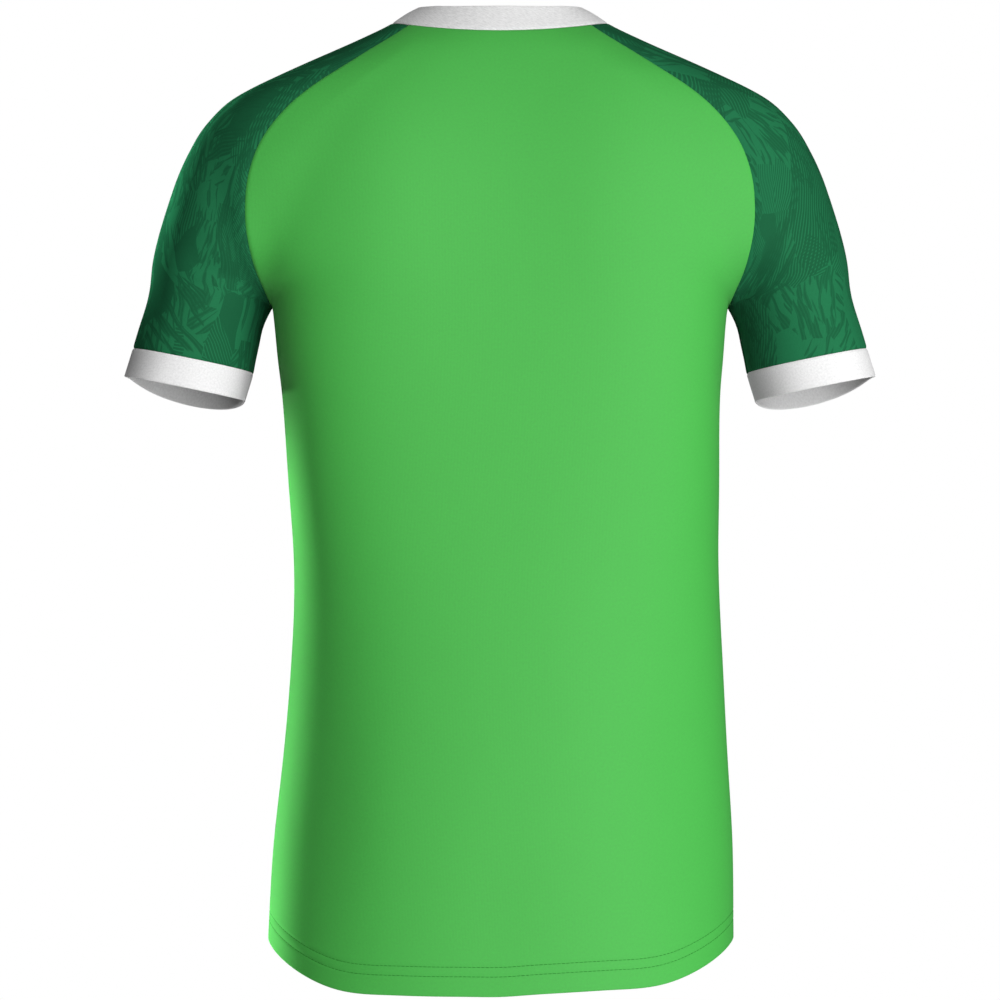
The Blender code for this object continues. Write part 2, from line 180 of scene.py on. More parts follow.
def fineGrid(grid, across, down, closed):  # across and down: (from start, from end, count)
    rows = []
    for line in grid:
        knots = lengthsAlong(line)
        rows.append(splineThrough(line, knots, gradedStations(knots[-1], *across), closed))
    grid = np.array(rows)
    columns = []
    for line in np.moveaxis(grid, 1, 0):
        knots = lengthsAlong(line)
        columns.append(splineThrough(line, knots, gradedStations(knots[-1], *down), False))
    return np.moveaxis(np.array(columns), 0, 1)


def gridNormals(grid, closed, tiny=1e-12):
    if closed:
        wide = np.concatenate([grid[:, -2:-1], grid, grid[:, 1:2]], axis=1)
        acrossWay = wide[:, 2:] - wide[:, :-2]
    else:
        acrossWay = np.gradient(grid, axis=1)
    normal = np.cross(np.gradient(grid, axis=0), acrossWay)
    normal /= np.maximum(np.linalg.norm(normal, axis=2, keepdims=True), tiny)
    centre = grid.mean(axis=(0, 1))
    return normal if (normal * (grid - centre)).sum() > 0 else -normal


def clothPlaces(grid, middleColumn):  # places on the flat cloth in metres: along rows, and down
    legs = np.linalg.norm(np.diff(grid, axis=1), axis=2)
    along = np.concatenate([np.zeros((len(grid), 1)), np.cumsum(legs, axis=1)], axis=1)
    along -= along[:, middleColumn:middleColumn + 1]
    down = lengthsAlong(grid[:, middleColumn])
    return np.stack([along, np.repeat(down[:, None], grid.shape[1], axis=1)], axis=-1)


# How all the cloth is shaped, lengths in millimetres.
clothShape = {
    "foldEnds": (0.12, 0.76, 1.2),  # a fold fades as part of a half wave: its start, its share and its power
    "seamReach": 0.22,  # sewn edges reach this far to their neighbours, so that no light comes through
    "turnAngles": (35, 70, 90, 110, 145),  # degrees round a turned edge, with a row at each
    "turnStart": 0.5,  # flat cloth between the turned edge and the first row of the turn
    "smoothAngle": 50,
}


def softFolds(places, folds):  # height of all folds at each place
    begins, share, power = clothShape["foldEnds"]
    height = np.zeros(places.shape[:2])
    for startU, startV, endU, endV, width, rise in folds:
        start = np.array([startU, startV]) * millimetre
        way = np.array([endU, endV]) * millimetre - start
        along = np.clip(((places - start) @ way) / (way @ way), 0, 1)
        away = np.linalg.norm(places - start - along[..., None] * way, axis=-1)
        fade = np.sin(np.pi * (begins + share * along)) ** power
        height += rise * millimetre * fade * np.exp(-(away / (width * millimetre)) ** 2)
    return height


def easedRows(grid, share, rounds):  # evens out a crease that runs across the rows
    for _ in range(rounds):
        between = (grid[2:] + grid[:-2]) / 2
        grid[1:-1] += (between - grid[1:-1]) * share[1:-1, :, None] / 2
    return grid


def seamRoll(distance, width, depth):  # how far cloth sinks towards a seam
    share = np.clip(1 - distance / (width * millimetre), 0, 1)
    return depth * millimetre * share**2


def sewnEdges(grid, ends, bottom):  # lengthens the top edge, and on request the rows' ends and the bottom
    edges = [(grid[0], grid[1])]
    if ends:
        edges += [(grid[:, 0], grid[:, 1]), (grid[:, -1], grid[:, -2])]
    if bottom:
        edges.append((grid[-1], grid[-2]))
    for edge, beside in edges:
        way = edge - beside
        edge += way / np.linalg.norm(way, axis=1, keepdims=True) * clothShape["seamReach"] * millimetre
    return grid


def foldedUnder(grid, normals, turn, radius):  # the cloth goes round its last row and back inside
    last = grid[-1]
    down = grid[-1] - grid[-3]
    down /= np.linalg.norm(down, axis=1, keepdims=True)
    inward = -normals[-1]
    rows = []
    for angle in np.radians(clothShape["turnAngles"]):
        rows.append(last + down * radius * math.sin(angle) + inward * radius * (1 - math.cos(angle)))
    height = np.linalg.norm(grid - last, axis=2).mean(axis=1)
    inside = [row for row in range(len(grid) - 1, -1, -1) if height[row] <= turn]
    rows.extend(grid[row] - normals[row] * 2 * radius for row in inside)
    return np.concatenate([grid, np.array(rows)]), len(rows)


def turnedPlaces(places, added, depth):  # the flat cloth goes on past the turned edge
    steps = np.linspace(clothShape["turnStart"] * millimetre, depth, added)
    return np.concatenate([places, places[-1:] + np.array([0, 1]) * steps[:, None, None]])


def clothMesh(name, grid, places, closed, wall, material):
    rows, columns = grid.shape[:2]
    used = columns - 1 if closed else columns
    bm = bmesh.new()
    layer = bm.loops.layers.uv.new("cloth")
    verts = [[bm.verts.new(grid[r, c]) for c in range(used)] for r in range(rows)]
    for r in range(rows - 1):
        for c in range(columns - 1):
            spots = ((r, c), (r + 1, c), (r + 1, c + 1), (r, c + 1))
            face = bm.faces.new([verts[a][b % used] for a, b in spots])
            for loop, (a, b) in zip(face.loops, spots):
                loop[layer].uv = places[a, b]
    bm.normal_update()
    low, high = grid.min(axis=(0, 1)), grid.max(axis=(0, 1))
    middle = Vector((low + high) / 2)
    outer = bm.faces[: (rows // 2) * (columns - 1)]
    if sum(f.calc_area() * f.normal.dot(f.calc_center_median() - middle) for f in outer) < 0:
        bmesh.ops.reverse_faces(bm, faces=bm.faces)
    mesh = bpy.data.meshes.new(name)
    bm.to_mesh(mesh)
    bm.free()
    piece = bpy.data.objects.new(name, mesh)
    bpy.context.scene.collection.objects.link(piece)
    piece.data.materials.append(material)
    bpy.ops.object.select_all(action="DESELECT")
    bpy.context.view_layer.objects.active = piece
    piece.select_set(True)
    solidify = piece.modifiers.new("wall", "SOLIDIFY")
    solidify.thickness = wall * millimetre
    solidify.offset = -1
    bpy.ops.object.modifier_apply(modifier=solidify.name)
    bpy.ops.object.shade_smooth_by_angle(angle=math.radians(clothShape["smoothAngle"]))
    piece.select_set(False)
    return piece


def addNode(tree, kind, **settings):
    node = tree.nodes.new(kind)
    for key, value in settings.items():
        if hasattr(node, key) and key not in node.inputs:
            setattr(node, key, value)
        else:
            node.inputs[key].default_value = value
    return node


def mathNode(tree, operation, first, second=None, third=None):
    node = tree.nodes.new("ShaderNodeMath")
    node.operation = operation
    for socket, value in zip(node.inputs, (first, second, third)):
        if isinstance(value, (int, float)):
            socket.default_value = value
        elif value is not None:
            tree.links.new(value, socket)
    return node.outputs[0]


def newGroup(name, inputs, outputs):
    group = bpy.data.node_groups.new(name, "ShaderNodeTree")
    for label, kind, value in inputs:
        socket = group.interface.new_socket(label, in_out="INPUT", socket_type=kind)
        if value is not None:
            socket.default_value = value
    for label, kind in outputs:
        group.interface.new_socket(label, in_out="OUTPUT", socket_type=kind)
    return group, group.nodes.new("NodeGroupInput"), group.nodes.new("NodeGroupOutput")


# The fine knit: sizes in millimetres, then how far a loop slants, how deep its steps are, and how much the
# yarn's unevenness adds.
knit = {"wale": 1.1, "course": 0.85, "grain": 1.9, "cloud": 45.0, "slant": 0.9, "loop": 0.22, "uneven": 0.8}


def makeKnitGroup():  # loops of a fine knit, with the yarn's unevenness
    group, given, made = newGroup(
        "fineKnit",
        [("Cloth", "NodeSocketVector", None), ("Size", "NodeSocketFloat", 1.0)],
        [("Height", "NodeSocketFloat"), ("Grain", "NodeSocketFloat"), ("Cloud", "NodeSocketFloat")],
    )
    link = group.links.new
    scaled = addNode(group, "ShaderNodeVectorMath", operation="SCALE")
    link(given.outputs["Cloth"], scaled.inputs[0])
    link(mathNode(group, "DIVIDE", 1 / millimetre, given.outputs["Size"]), scaled.inputs["Scale"])
    split = addNode(group, "ShaderNodeSeparateXYZ")
    link(scaled.outputs["Vector"], split.inputs[0])
    wale = mathNode(group, "DIVIDE", split.outputs["X"], knit["wale"])
    course = mathNode(group, "DIVIDE", split.outputs["Y"], knit["course"])
    fromMiddle = mathNode(group, "ABSOLUTE", mathNode(group, "SUBTRACT", mathNode(group, "FRACT", wale), 0.5))
    slant = mathNode(group, "MULTIPLY_ADD", fromMiddle, knit["slant"], course)
    loops = mathNode(group, "SINE", mathNode(group, "MULTIPLY", slant, math.tau))
    rib = mathNode(group, "COSINE", mathNode(group, "MULTIPLY", fromMiddle, math.pi))
    step = mathNode(group, "MULTIPLY_ADD", loops, knit["loop"], 1 - knit["loop"])
    stitch = mathNode(group, "MULTIPLY", rib, step)
    grain = addNode(group, "ShaderNodeTexNoise", Scale=1 / knit["grain"], Detail=3.0, Roughness=0.75)
    cloud = addNode(group, "ShaderNodeTexNoise", Scale=1 / knit["cloud"], Detail=2.0, Roughness=0.5)
    link(scaled.outputs["Vector"], grain.inputs["Vector"])
    link(scaled.outputs["Vector"], cloud.inputs["Vector"])
    link(mathNode(group, "MULTIPLY_ADD", grain.outputs["Fac"], knit["uneven"], stitch), made.inputs["Height"])
    link(grain.outputs["Fac"], made.inputs["Grain"])
    link(cloud.outputs["Fac"], made.inputs["Cloud"])
    return group


# The tonal print: large and small patches, each of strokes, hatching, solid ink or bare cloth. Sizes in mm.
printLook = {
    "wander": 30.0, "wanderBy": 8.0, "lean": 1.7, "smallShare": 0.9,
    "strokeBelow": 0.52,  # patches whose chance is lower hold strokes
    "strokeFrom": 0.455, "strokeVary": 0.12, "edge": 0.02,
    "lines": 0.35, "lineWeight": -0.3, "lineEdge": 0.4,  # fine lines inside the strokes
    "hatchAt": 0.68, "hatchReach": 0.12,  # patches whose chance is near this are hatched
    "hatchSlant": 0.9, "hatchPitch": 1.35, "hatchWeight": -0.6, "hatchEdge": 0.3,
    "large": {"wide": 40.0, "long": 84.0, "turn": 14, "stroke": (6.5, 52.0), "pitch": 3.0, "start": 3.1,
              "solid": 1.1},
    "small": {"wide": 19.0, "long": 36.0, "turn": -38, "stroke": (3.6, 24.0), "pitch": 2.6, "start": 7.7,
              "solid": 0.86},
}


def makePrintGroup():
    group, given, made = newGroup(
        "tonalPrint",
        [("Cloth", "NodeSocketVector", None), ("Shift", "NodeSocketVector", None)],
        [("Ink", "NodeSocketFloat")],
    )
    link = group.links.new
    moved = addNode(group, "ShaderNodeVectorMath", operation="ADD")
    link(given.outputs["Cloth"], moved.inputs[0])
    link(given.outputs["Shift"], moved.inputs[1])
    wander = addNode(group, "ShaderNodeTexNoise", Scale=1 / (printLook["wander"] * millimetre), Detail=1.0)
    link(moved.outputs[0], wander.inputs["Vector"])
    ragged = addNode(group, "ShaderNodeVectorMath", operation="MULTIPLY_ADD")
    ragged.inputs[1].default_value = [printLook["wanderBy"] * millimetre] * 2 + [0]
    link(wander.outputs["Color"], ragged.inputs[0])
    link(moved.outputs[0], ragged.inputs[2])

    def scaled(vector, turn, wide, long, start=0.0):
        mapping = addNode(group, "ShaderNodeMapping")
        mapping.inputs["Rotation"].default_value = (0, 0, math.radians(turn))
        mapping.inputs["Scale"].default_value = (1 / (wide * millimetre), 1 / (long * millimetre), 0)
        mapping.inputs["Location"].default_value = (start, start, 0)
        link(vector, mapping.inputs["Vector"])
        return mapping.outputs[0]

    def above(value, limit, softness):  # 0 to 1 as the value passes the limit
        step = addNode(group, "ShaderNodeMapRange", interpolation_type="SMOOTHSTEP")
        link(mathNode(group, "SUBTRACT", value, limit), step.inputs["Value"])
        step.inputs["From Min"].default_value = -softness
        step.inputs["From Max"].default_value = softness
        return step.outputs["Result"]

    def lines(along, pitch, share, softness):  # parallel lines of ink
        beat = mathNode(group, "SINE", mathNode(group, "MULTIPLY", along, math.tau / (pitch * millimetre)))
        return above(beat, share, softness)

    def patches(look):
        cells = addNode(group, "ShaderNodeTexVoronoi", voronoi_dimensions="2D", Scale=1.0, Randomness=0.9)
        spot = scaled(ragged.outputs[0], look["turn"], look["wide"], look["long"], look["start"])
        link(spot, cells.inputs["Vector"])
        chance = addNode(group, "ShaderNodeSeparateColor")
        link(cells.outputs["Color"], chance.inputs[0])
        ownWay = addNode(group, "ShaderNodeVectorRotate", rotation_type="Z_AXIS")
        link(ragged.outputs[0], ownWay.inputs["Vector"])
        lean = mathNode(group, "MULTIPLY_ADD", chance.outputs[0], printLook["lean"], -printLook["lean"] / 2)
        link(lean, ownWay.inputs["Angle"])
        brush = addNode(group, "ShaderNodeTexNoise", noise_dimensions="2D", Scale=1.0, Detail=1.0,
                        Roughness=0.4)
        link(scaled(ownWay.outputs[0], 0, *look["stroke"]), brush.inputs["Vector"])
        thinner = mathNode(group, "MULTIPLY_ADD", chance.outputs[1], printLook["strokeVary"],
                           printLook["strokeFrom"])
        stroke = above(brush.outputs["Fac"], thinner, printLook["edge"])
        place = addNode(group, "ShaderNodeSeparateXYZ")
        link(ownWay.outputs[0], place.inputs[0])
        thread = lines(place.outputs["X"], look["pitch"], printLook["lineWeight"], printLook["lineEdge"])
        lined = mathNode(group, "MULTIPLY_ADD", thread, printLook["lines"], 1 - printLook["lines"])
        slanted = mathNode(group, "MULTIPLY_ADD", place.outputs["Y"], printLook["hatchSlant"],
                           place.outputs["X"])
        weight = mathNode(group, "ADD", chance.outputs[1], printLook["hatchWeight"])
        hatched = lines(slanted, look["pitch"] * printLook["hatchPitch"], weight, printLook["hatchEdge"])
        kind = chance.outputs[2]
        strokeKind = mathNode(group, "LESS_THAN", kind, printLook["strokeBelow"])
        hatchKind = mathNode(group, "COMPARE", kind, printLook["hatchAt"], printLook["hatchReach"])
        strokeHere = mathNode(group, "MULTIPLY", mathNode(group, "MULTIPLY", stroke, lined), strokeKind)
        hatchedHere = mathNode(group, "MULTIPLY", hatched, hatchKind)
        solidHere = mathNode(group, "GREATER_THAN", kind, look["solid"])
        return mathNode(group, "MAXIMUM", mathNode(group, "MAXIMUM", strokeHere, hatchedHere), solidHere)

    small = mathNode(group, "MULTIPLY", patches(printLook["small"]), printLook["smallShare"])
    link(mathNode(group, "MAXIMUM", patches(printLook["large"]), small), made.inputs["Ink"])
    return group


knitGroup = makeKnitGroup()
printGroup = makePrintGroup()


def clothMaterial(look):
    material = bpy.data.materials.new(look["name"])
    material.use_nodes = True
    tree = material.node_tree
    link = tree.links.new
    shader = tree.nodes["Principled BSDF"]
    shader.inputs["Roughness"].default_value = look["roughness"]
    shader.inputs["Specular IOR Level"].default_value = look["gloss"]
    shader.inputs["Sheen Weight"].default_value = look["sheen"]
    shader.inputs["Sheen Roughness"].default_value = look["sheenRoughness"]
    shader.inputs["Sheen Tint"].default_value = (*look["sheenTint"], 1)
    cloth = addNode(tree, "ShaderNodeUVMap", uv_map="cloth")
    weave = tree.nodes.new("ShaderNodeGroup")
    weave.node_tree = knitGroup
    weave.inputs["Size"].default_value = look["knitSize"]
    link(cloth.outputs[0], weave.inputs["Cloth"])
    color = addNode(tree, "ShaderNodeMix", data_type="RGBA")
    color.inputs["A"].default_value = (*look["base"], 1)
    color.inputs["B"].default_value = (*look["second"], 1)
    if look["printed"]:
        ink = tree.nodes.new("ShaderNodeGroup")
        ink.node_tree = printGroup
        ink.inputs["Shift"].default_value = look["shift"]
        link(cloth.outputs[0], ink.inputs["Cloth"])
        link(ink.outputs["Ink"], color.inputs["Factor"])
    else:
        color.inputs["Factor"].default_value = 0
    lean = mathNode(tree, "MULTIPLY_ADD", weave.outputs["Grain"], look["grain"], 1 - look["grain"] / 2)
    drift = mathNode(tree, "MULTIPLY_ADD", weave.outputs["Cloud"], look["cloud"], 1 - look["cloud"] / 2)
    shade = addNode(tree, "ShaderNodeVectorMath", operation="SCALE")
    link(color.outputs["Result"], shade.inputs[0])
    link(mathNode(tree, "MULTIPLY", lean, drift), shade.inputs["Scale"])
    # the light that the cloth throws on its neighbours is grey
    rays = addNode(tree, "ShaderNodeLightPath")
    thrown = addNode(tree, "ShaderNodeMix", data_type="RGBA")
    thrown.inputs["B"].default_value = (look["spill"], look["spill"], look["spill"], 1)
    link(rays.outputs["Is Diffuse Ray"], thrown.inputs["Factor"])
    link(shade.outputs["Vector"], thrown.inputs["A"])
    link(thrown.outputs["Result"], shader.inputs["Base Color"])
    bump = addNode(tree, "ShaderNodeBump", Strength=look["relief"], Distance=look["reliefDepth"] * millimetre)
    link(weave.outputs["Height"], bump.inputs["Height"])
    link(bump.outputs["Normal"], shader.inputs["Normal"])
    smoothest = look["roughness"] - look["roughnessVary"] / 2
    rough = mathNode(tree, "MULTIPLY_ADD", weave.outputs["Grain"], look["roughnessVary"], smoothest)
    link(rough, shader.inputs["Roughness"])
    return material


bodyLook = {
    "name": "bodyKnit", "base": (0.057, 0.489, 0.061), "second": (0.057, 0.489, 0.061),
    "roughness": 0.75, "roughnessVary": 0.16, "gloss": 0.75,
    "sheen": 0.0, "sheenRoughness": 0.45, "sheenTint": (1.0, 1.0, 1.0),
    "knitSize": 1.0, "grain": 0.27, "cloud": 0.03,  # size of the knit, and how uneven its colour is
    "relief": 0.14, "reliefDepth": 0.3,  # the depth in millimetres
    "printed": False,
    "spill": 0.33,  # how light the cloth is to its neighbours
}
sleeveLook = dict(
    bodyLook, name="sleeveKnitLeft", base=(0.0165, 0.180, 0.071), second=(0.0103, 0.112, 0.045), gloss=0.06,
    printed=True, shift=(0.0, 0.0, 0.0), grain=0.24, cloud=0.08,
)
otherSleeveLook = dict(sleeveLook, name="sleeveKnitRight", shift=(0.83, 0.41, 0.0))
cuffLook = dict(
    bodyLook, name="cuffRib", base=(0.91, 0.91, 0.91), second=(0.91, 0.91, 0.91), gloss=0.2, sheen=0.1,
    knitSize=0.85, grain=0.5, spill=0.3,
)
collarLook = dict(
    bodyLook, name="collarRib", base=(0.86, 0.86, 0.86), second=(0.86, 0.86, 0.86), sheen=0.1,
    knitSize=0.9, grain=0.95, spill=0.8,
)
threadLook = {
    "name": "hemThread", "base": (0.020, 0.210, 0.022), "roughness": 0.8, "gloss": 0.1,
    "yarn": 0.4, "vary": 0.2,  # millimetres between its lighter spots, and how much lighter they are
}

bodyCloth = clothMaterial(bodyLook)
leftSleeveKnit = clothMaterial(sleeveLook)
rightSleeveKnit = clothMaterial(otherSleeveLook)
cuffCloth = clothMaterial(cuffLook)
collarCloth = clothMaterial(collarLook)


def threadMaterial():
    material = bpy.data.materials.new(threadLook["name"])
    material.use_nodes = True
    tree = material.node_tree
    shader = tree.nodes["Principled BSDF"]
    shader.inputs["Roughness"].default_value = threadLook["roughness"]
    shader.inputs["Specular IOR Level"].default_value = threadLook["gloss"]
    place = addNode(tree, "ShaderNodeTexCoord")
    yarn = addNode(tree, "ShaderNodeTexNoise", Scale=1 / (threadLook["yarn"] * millimetre), Detail=2.0)
    tree.links.new(place.outputs["Object"], yarn.inputs["Vector"])
    twist = addNode(tree, "ShaderNodeMix", data_type="RGBA")
    for socket, light in (("A", 1 - threadLook["vary"]), ("B", 1 + threadLook["vary"])):
        twist.inputs[socket].default_value = (*[light * part for part in threadLook["base"]], 1)
    tree.links.new(yarn.outputs["Fac"], twist.inputs["Factor"])
    tree.links.new(twist.outputs["Result"], shader.inputs["Base Color"])
    return material


thread = threadMaterial()
print("finishes made")


def finishPiece(piece, node):
    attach(piece, "root")
    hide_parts(node)
    return piece


# The two body panels, in millimetres.
panels = {
    "acrossFine": [0, 0.6, 1.2, 2.0, 3.2, 5.0],  # distances from the side seams with a column each
    "neckFine": [0, 0.6, 1.2, 2.0, 3.2, 5.0],
    "hemFine": [0, 1.0, 3.5, 7, 11, 12.8, 13.5, 14.2, 15.0, 17.5, 19.8, 20.6, 21.3, 22.1, 24.5],
    "columns": 96,
    "rows": 128,
    "roll": (2.6, 0.7),  # width and depth of the cloth's turn at a seam
    "foldsFrom": 25,  # off the seams, where folds have their full height
    "foldsAtHem": (30, 0.35),  # above the hem, where they do, and their share at the hem
    "stitchLines": (14.0, 21.0),  # up from the hem's edge
    "groove": (1.0, 0.40),  # half width and depth under a line of stitches
    "hemTurn": 20.0,
    "hemCloth": 21,  # turned up, with its round edge
    "hemRadius": 0.75,
    "wall": 0.6,
    "easeHeights": (-224, 34),  # of the crease under the arm that is evened out: its middle and half height
    "easeFrom": (3, 24),  # off the seams, where that begins and where it is full
    "easeRounds": 24,
}
# Soft folds, as (x, z, x, z, width, rise) in mm: the line of each, how wide it is and how proud.
backFolds = [
    (82, -45, 93, -240, 52, 5.0),
    (-80, -40, -91, -235, 50, 4.8),
    (60, -265, 30, -560, 46, -1.0),
    (-60, -480, -105, -700, 40, 1.1),
    (125, -450, 138, -700, 26, -0.9),
    (-130, -430, -142, -690, 24, -0.8),
    (85, -530, 92, -705, 30, 0.9),
    (-10, -600, 5, -720, 34, -0.8),
]
frontFolds = [
    (-70, -150, -92, -330, 44, 2.6),
    (72, -150, 90, -320, 42, 2.4),
    (-150, -262, -70, -400, 22, 1.5),
    (150, -262, 85, -380, 20, 1.3),
    (-50, -350, -20, -600, 44, -1.2),
    (70, -480, 100, -690, 38, 1.2),
    (-130, -440, -140, -690, 26, -1.0),
    (132, -460, 140, -690, 24, -0.9),
    (10, -520, -15, -700, 36, 0.9),
]


def scaledList(values):
    return [value * millimetre for value in values]


def edgeDistances(grid):  # how far each point is from the row's two ends and the column's two
    across = np.concatenate(
        [np.zeros((len(grid), 1)), np.cumsum(np.linalg.norm(np.diff(grid, axis=1), axis=2), axis=1)], axis=1
    )
    down = np.concatenate(
        [np.zeros((1, grid.shape[1])), np.cumsum(np.linalg.norm(np.diff(grid, axis=0), axis=2), axis=0)]
    )
    return across, across[:, -1:] - across, down, down[-1:] - down


def lineAlong(grid, bottom, height):  # the line across a panel at a height above its hem
    line = []
    for column in range(grid.shape[1]):
        line.append([np.interp(-height, -bottom[:, column], grid[:, column, axis]) for axis in range(3)])
    return np.array(line)


def makePanel(name, node, folds):
    coarse = pieceGrid(node, "collar", lambda vert: vert.co.x)
    across = (scaledList(panels["acrossFine"]), scaledList(panels["acrossFine"]), panels["columns"])
    down = (scaledList(panels["neckFine"]), scaledList(panels["hemFine"]), panels["rows"])
    grid = fineGrid(coarse, across, down, False)
    left, right, top, bottom = edgeDistances(grid)
    middle, halfHeight = scaledList(panels["easeHeights"])
    begins, full = scaledList(panels["easeFrom"])
    share = np.clip((np.minimum(left, right) - begins) / (full - begins), 0, 1)
    share = share * np.exp(-(((grid[..., 2] - middle) / halfHeight) ** 2))
    grid = easedRows(grid, share, panels["easeRounds"])
    normals = gridNormals(grid, False)
    places = clothPlaces(grid, grid.shape[1] // 2)
    left, right, top, bottom = edgeDistances(grid)
    calm = np.clip(np.minimum(np.minimum(left, right), top) / (panels["foldsFrom"] * millimetre), 0, 1)
    fullAbove, shareBelow = panels["foldsAtHem"]
    calm = calm * np.clip(bottom / (fullAbove * millimetre) + shareBelow, 0, 1)
    height = softFolds(grid[..., [0, 2]], folds) * calm
    for distance in (left, right, top):
        height -= seamRoll(distance, *panels["roll"])
    halfWidth, depth = panels["groove"]
    for line in panels["stitchLines"]:
        away = np.abs(bottom / millimetre - line) / halfWidth
        height -= depth * millimetre * np.clip(1 - away, 0, 1)
    grid = sewnEdges(grid + normals * height[..., None], True, False)
    stitchRows = [lineAlong(grid, bottom, line * millimetre) for line in panels["stitchLines"]]
    grid, added = foldedUnder(grid, normals, panels["hemTurn"] * millimetre, panels["hemRadius"] * millimetre)
    places = turnedPlaces(places, added, panels["hemCloth"] * millimetre)
    piece = clothMesh(name, grid, places, False, panels["wall"], bodyCloth)
    return finishPiece(piece, node), stitchRows


# The hem's stitches, in millimetres.
stitches = {
    "pitch": 3.3, "length": 3.2, "radius": 0.27, "sides": 6,
    "sunk": 0.10, "endsSunk": 0.35,  # into the groove, and how much more where the thread thins to nothing
    "profile": [(-0.5, 0.5), (-0.4, 0.9), (0.0, 1.0), (0.4, 0.9), (0.5, 0.5)],  # place along it, and girth
    "lookAhead": 1.0,  # along the line, to tell its direction
}


def makeStitches(name, lines):  # short thread capsules along each line
    points, faces = [], []
    sides, profile = stitches["sides"], stitches["profile"]
    for line in lines:
        along = lengthsAlong(line)
        count = int(along[-1] / (stitches["pitch"] * millimetre))
        middles = (np.arange(count) + 0.5) * along[-1] / count
        step = stitches["lookAhead"] * millimetre
        centres, ahead, behind = [
            np.stack([np.interp(places, along, line[:, axis]) for axis in range(3)], axis=1)
            for places in (middles, middles + step, middles - step)
        ]
        for centre, way in zip(centres, ahead - behind):
            way = way / np.linalg.norm(way)
            out = centre * (1, 1, 0)
            out = out - way * (out @ way)
            out /= np.linalg.norm(out)
            side = np.cross(way, out)
            first = len(points)
            for share, girth in profile:
                radius = stitches["radius"] * girth * millimetre
                dip = stitches["sunk"] + (1 - girth) * stitches["endsSunk"]
                ring = centre + way * share * stitches["length"] * millimetre - out * dip * millimetre
                for corner in range(sides):
                    angle = math.tau * corner / sides
                    points.append(ring + side * radius * math.cos(angle) + out * radius * math.sin(angle))
            for ring in range(len(profile) - 1):
                for corner in range(sides):
                    a = first + ring * sides + corner
                    b = first + ring * sides + (corner + 1) % sides
                    faces.append((a, b, b + sides, a + sides))
            faces.append([first + corner for corner in reversed(range(sides))])
            faces.append([first + (len(profile) - 1) * sides + corner for corner in range(sides)])
    mesh = bpy.data.meshes.new(name)
    mesh.from_pydata([tuple(point) for point in points], [], faces)
    mesh.validate()
    bm = bmesh.new()
    bm.from_mesh(mesh)
    bmesh.ops.recalc_face_normals(bm, faces=bm.faces)
    bm.to_mesh(mesh)
    bm.free()
    mesh.shade_smooth()
    mesh.materials.append(thread)
    piece = bpy.data.objects.new(name, mesh)
    bpy.context.scene.collection.objects.link(piece)
    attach(piece, "root")
    return piece


backPiece, backLines = makePanel("backBodyCloth", "back_panel", backFolds)
frontPiece, frontLines = makePanel("frontBodyCloth", "front_panel", frontFolds)
backStitches = makeStitches("backHemStitches", backLines)
frontStitches = makeStitches("frontHemStitches", frontLines)
print("body panels and hem stitches made")


# Both sleeves, in millimetres.
sleeves = {
    "acrossFine": [0, 0.8, 1.8, 3.0, 4.5, 6.5],
    "neckFine": [0, 0.6, 1.2, 2.0, 3.2],
    "cuffFine": [0, 0.6, 1.2, 2.0, 3.2, 5.0],
    "columns": 84,
    "rows": 76,
    "raglanRoll": (6.0, 1.15),
    "roll": (2.6, 0.8),
    "foldsFrom": 22,
    "foldsAtCuff": (20, 0.2),  # as at the panels' hem
    "wall": 0.6,
}
# The same kind of folds, with places in mm along and down the flat sleeve.
sleeveFolds = [
    (-70, 150, -150, 255, 20, -2.0),
    (-20, 190, 30, 285, 24, -1.6),
    (95, 160, 150, 250, 20, -1.8),
    (-95, 120, -40, 230, 26, 1.4),
    (60, 110, 20, 220, 26, 1.3),
    (-150, 230, -60, 292, 15, 1.3),
    (150, 230, 85, 290, 15, 1.2),
]


def makeSleeve(name, node, material):
    coarse = pieceGrid(node, "collar", lambda vert: -vert.co.y)
    across = (scaledList(sleeves["acrossFine"]), scaledList(sleeves["acrossFine"]), sleeves["columns"])
    down = (scaledList(sleeves["neckFine"]), scaledList(sleeves["cuffFine"]), sleeves["rows"])
    grid = fineGrid(coarse, across, down, False)
    normals = gridNormals(grid, False)
    places = clothPlaces(grid, grid.shape[1] // 2)
    back, front, top, bottom = edgeDistances(grid)
    calm = np.clip(np.minimum(np.minimum(back, front), top) / (sleeves["foldsFrom"] * millimetre), 0, 1)
    fullAbove, shareBelow = sleeves["foldsAtCuff"]
    calm = calm * np.clip(bottom / (fullAbove * millimetre) + shareBelow, 0, 1)
    height = softFolds(places, sleeveFolds) * calm
    height -= np.maximum(seamRoll(back, *sleeves["raglanRoll"]), seamRoll(front, *sleeves["raglanRoll"]))
    height -= seamRoll(top, *sleeves["roll"]) + seamRoll(bottom, *sleeves["roll"])
    grid = sewnEdges(grid + normals * height[..., None], True, True)
    piece = clothMesh(name, grid, places, False, sleeves["wall"], material)
    return finishPiece(piece, node)


leftSleeve = makeSleeve("leftSleeveCloth", "sleeve_left", leftSleeveKnit)
rightSleeve = makeSleeve("rightSleeveCloth", "sleeve_right", rightSleeveKnit)
print("sleeves made")


# Cuffs and collar, in millimetres.
bands = {
    "seamFine": [0, 0.5, 1.0, 1.7],
    "edgeFine": [0, 0.8, 2.0],
    "cuffColumns": 120,
    "collarColumns": 240,
    "rows": 12,
    "roll": (1.8, 0.55),
    "radius": 0.85,
    "turnShare": 0.97,  # of a band's height that goes back down inside
    "wall": 0.6,
    "collarRise": 1.5,
    "collarCurl": 1.9,  # how far its edge turns in at the sides of the neck
    "curlFrom": (48, 66),  # off the middle, where that begins and where it is full
    "curlPower": 3,
}


